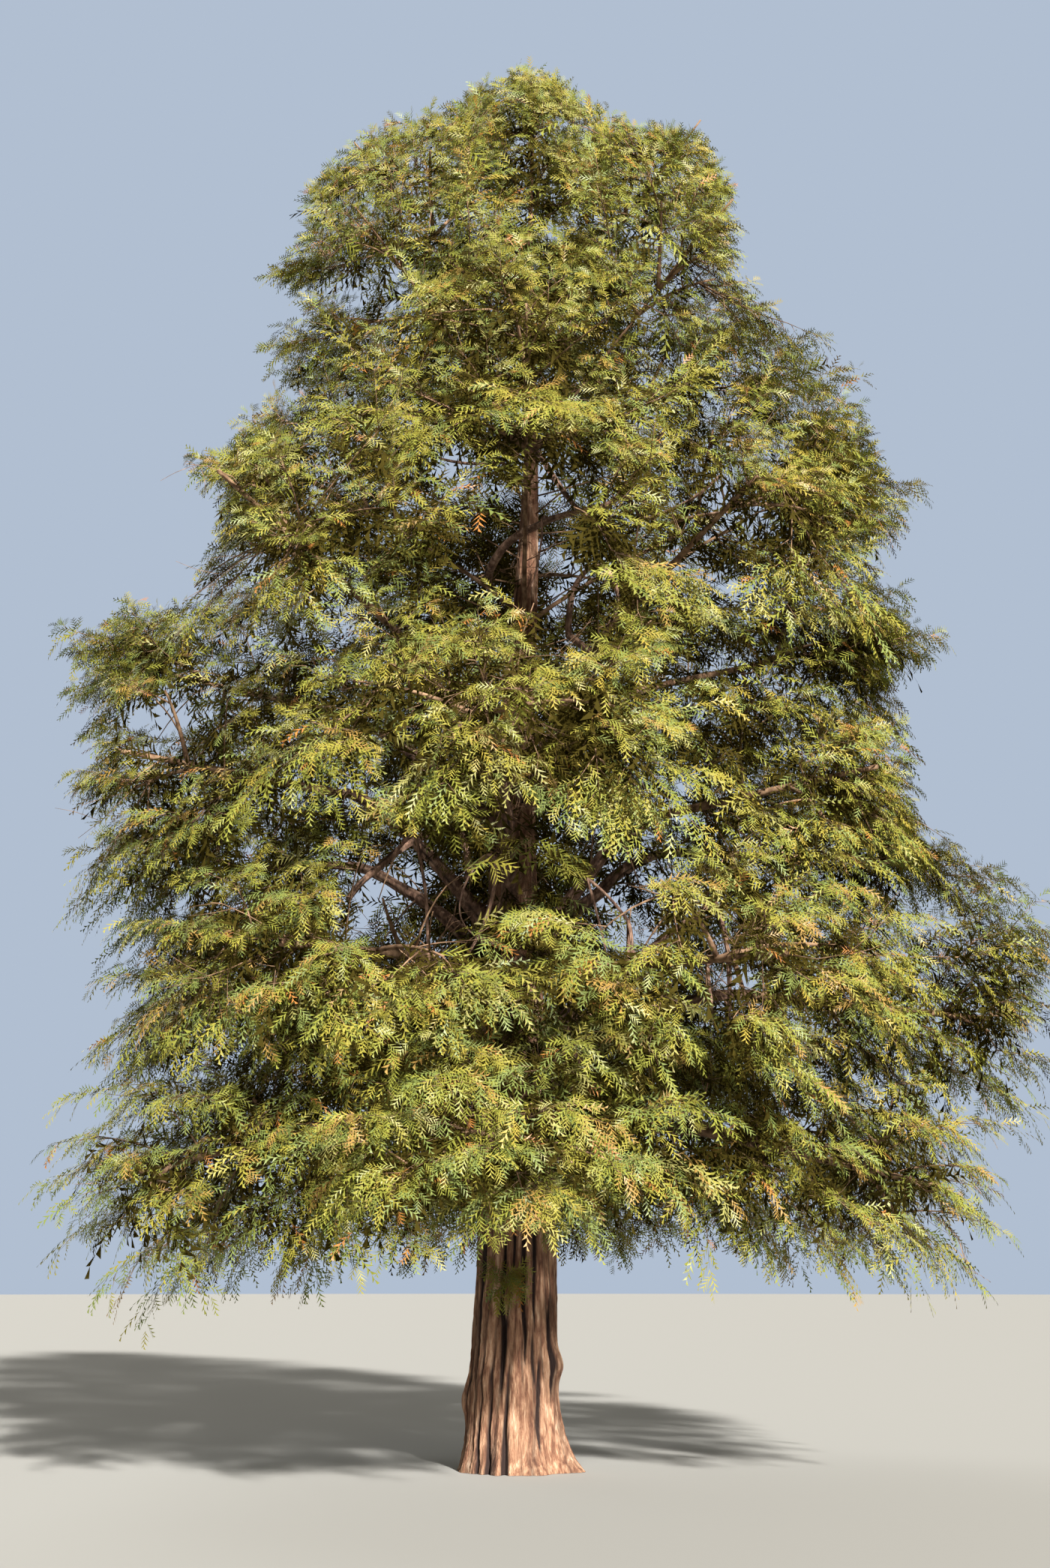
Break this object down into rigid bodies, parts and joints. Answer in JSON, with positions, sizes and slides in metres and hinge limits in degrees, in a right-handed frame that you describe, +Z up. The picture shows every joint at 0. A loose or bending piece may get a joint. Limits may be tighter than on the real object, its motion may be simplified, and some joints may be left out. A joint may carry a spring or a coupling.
{
  "type": "yew tree",
  "caption": "Mature evergreen conifer rooted in the ground: a fluted trunk, rising boughs in tiers and drooping masses of needle sprays.",
  "frame": {"origin": "at ground level, in the middle of the flat cut under the trunk", "axes": "+Z up the trunk, -Y towards the side that the picture shows, +X to the right in that view"},
  "size_m": [9.2052, 8.5254, 13.8829],
  "materials": {
    "trunk_bark": "rough, stringy pinkish-brown bark in ropes and flutes",
    "bough_bark": "rough red-brown bark",
    "needles": "flat sprays of soft needles, olive to yellow-green, satin"
  },
  "bodies": {
    "root": {"bough_low_1": "bough_bark", "bough_low_2": "bough_bark", "bough_low_3": "bough_bark", "bough_low_4": "bough_bark", "bough_low_5": "bough_bark", "bough_low_6": "bough_bark", "bough_shoulder_1": "bough_bark", "bough_shoulder_2": "bough_bark", "bough_shoulder_3": "bough_bark", "bough_shoulder_4": "bough_bark", "bough_shoulder_5": "bough_bark", "bough_skirt_1": "bough_bark", "bough_skirt_2": "bough_bark", "bough_skirt_3": "bough_bark", "bough_skirt_4": "bough_bark", "bough_skirt_5": "bough_bark", "bough_skirt_6": "bough_bark", "bough_waist_1": "bough_bark", "bough_waist_2": "bough_bark", "bough_waist_3": "bough_bark", "bough_waist_4": "bough_bark", "bough_waist_5": "bough_bark", "bough_waist_6": "bough_bark", "foliage_crest_1": "needles", "foliage_crest_2": "needles", "foliage_crest_3": "needles", "foliage_high_1": "needles", "foliage_high_2": "needles", "foliage_high_3": "needles", "foliage_high_4": "needles", "foliage_leader": "needles", "foliage_low_1": "needles", "foliage_low_2": "needles", "foliage_low_3": "needles", "foliage_low_4": "needles", "foliage_low_5": "needles", "foliage_low_6": "needles", "foliage_shoulder_1": "needles", "foliage_shoulder_2": "needles", "foliage_shoulder_3": "needles", "foliage_shoulder_4": "needles", "foliage_shoulder_5": "needles", "foliage_skirt_1": "needles", "foliage_skirt_2": "needles", "foliage_skirt_3": "needles", "foliage_skirt_4": "needles", "foliage_skirt_5": "needles", "foliage_skirt_6": "needles", "foliage_upper_1": "needles", "foliage_upper_2": "needles", "foliage_upper_3": "needles", "foliage_upper_4": "needles", "foliage_waist_1": "needles", "foliage_waist_2": "needles", "foliage_waist_3": "needles", "foliage_waist_4": "needles", "foliage_waist_5": "needles", "foliage_waist_6": "needles", "trunk": "trunk_bark"}
  },
  "joints": []
}
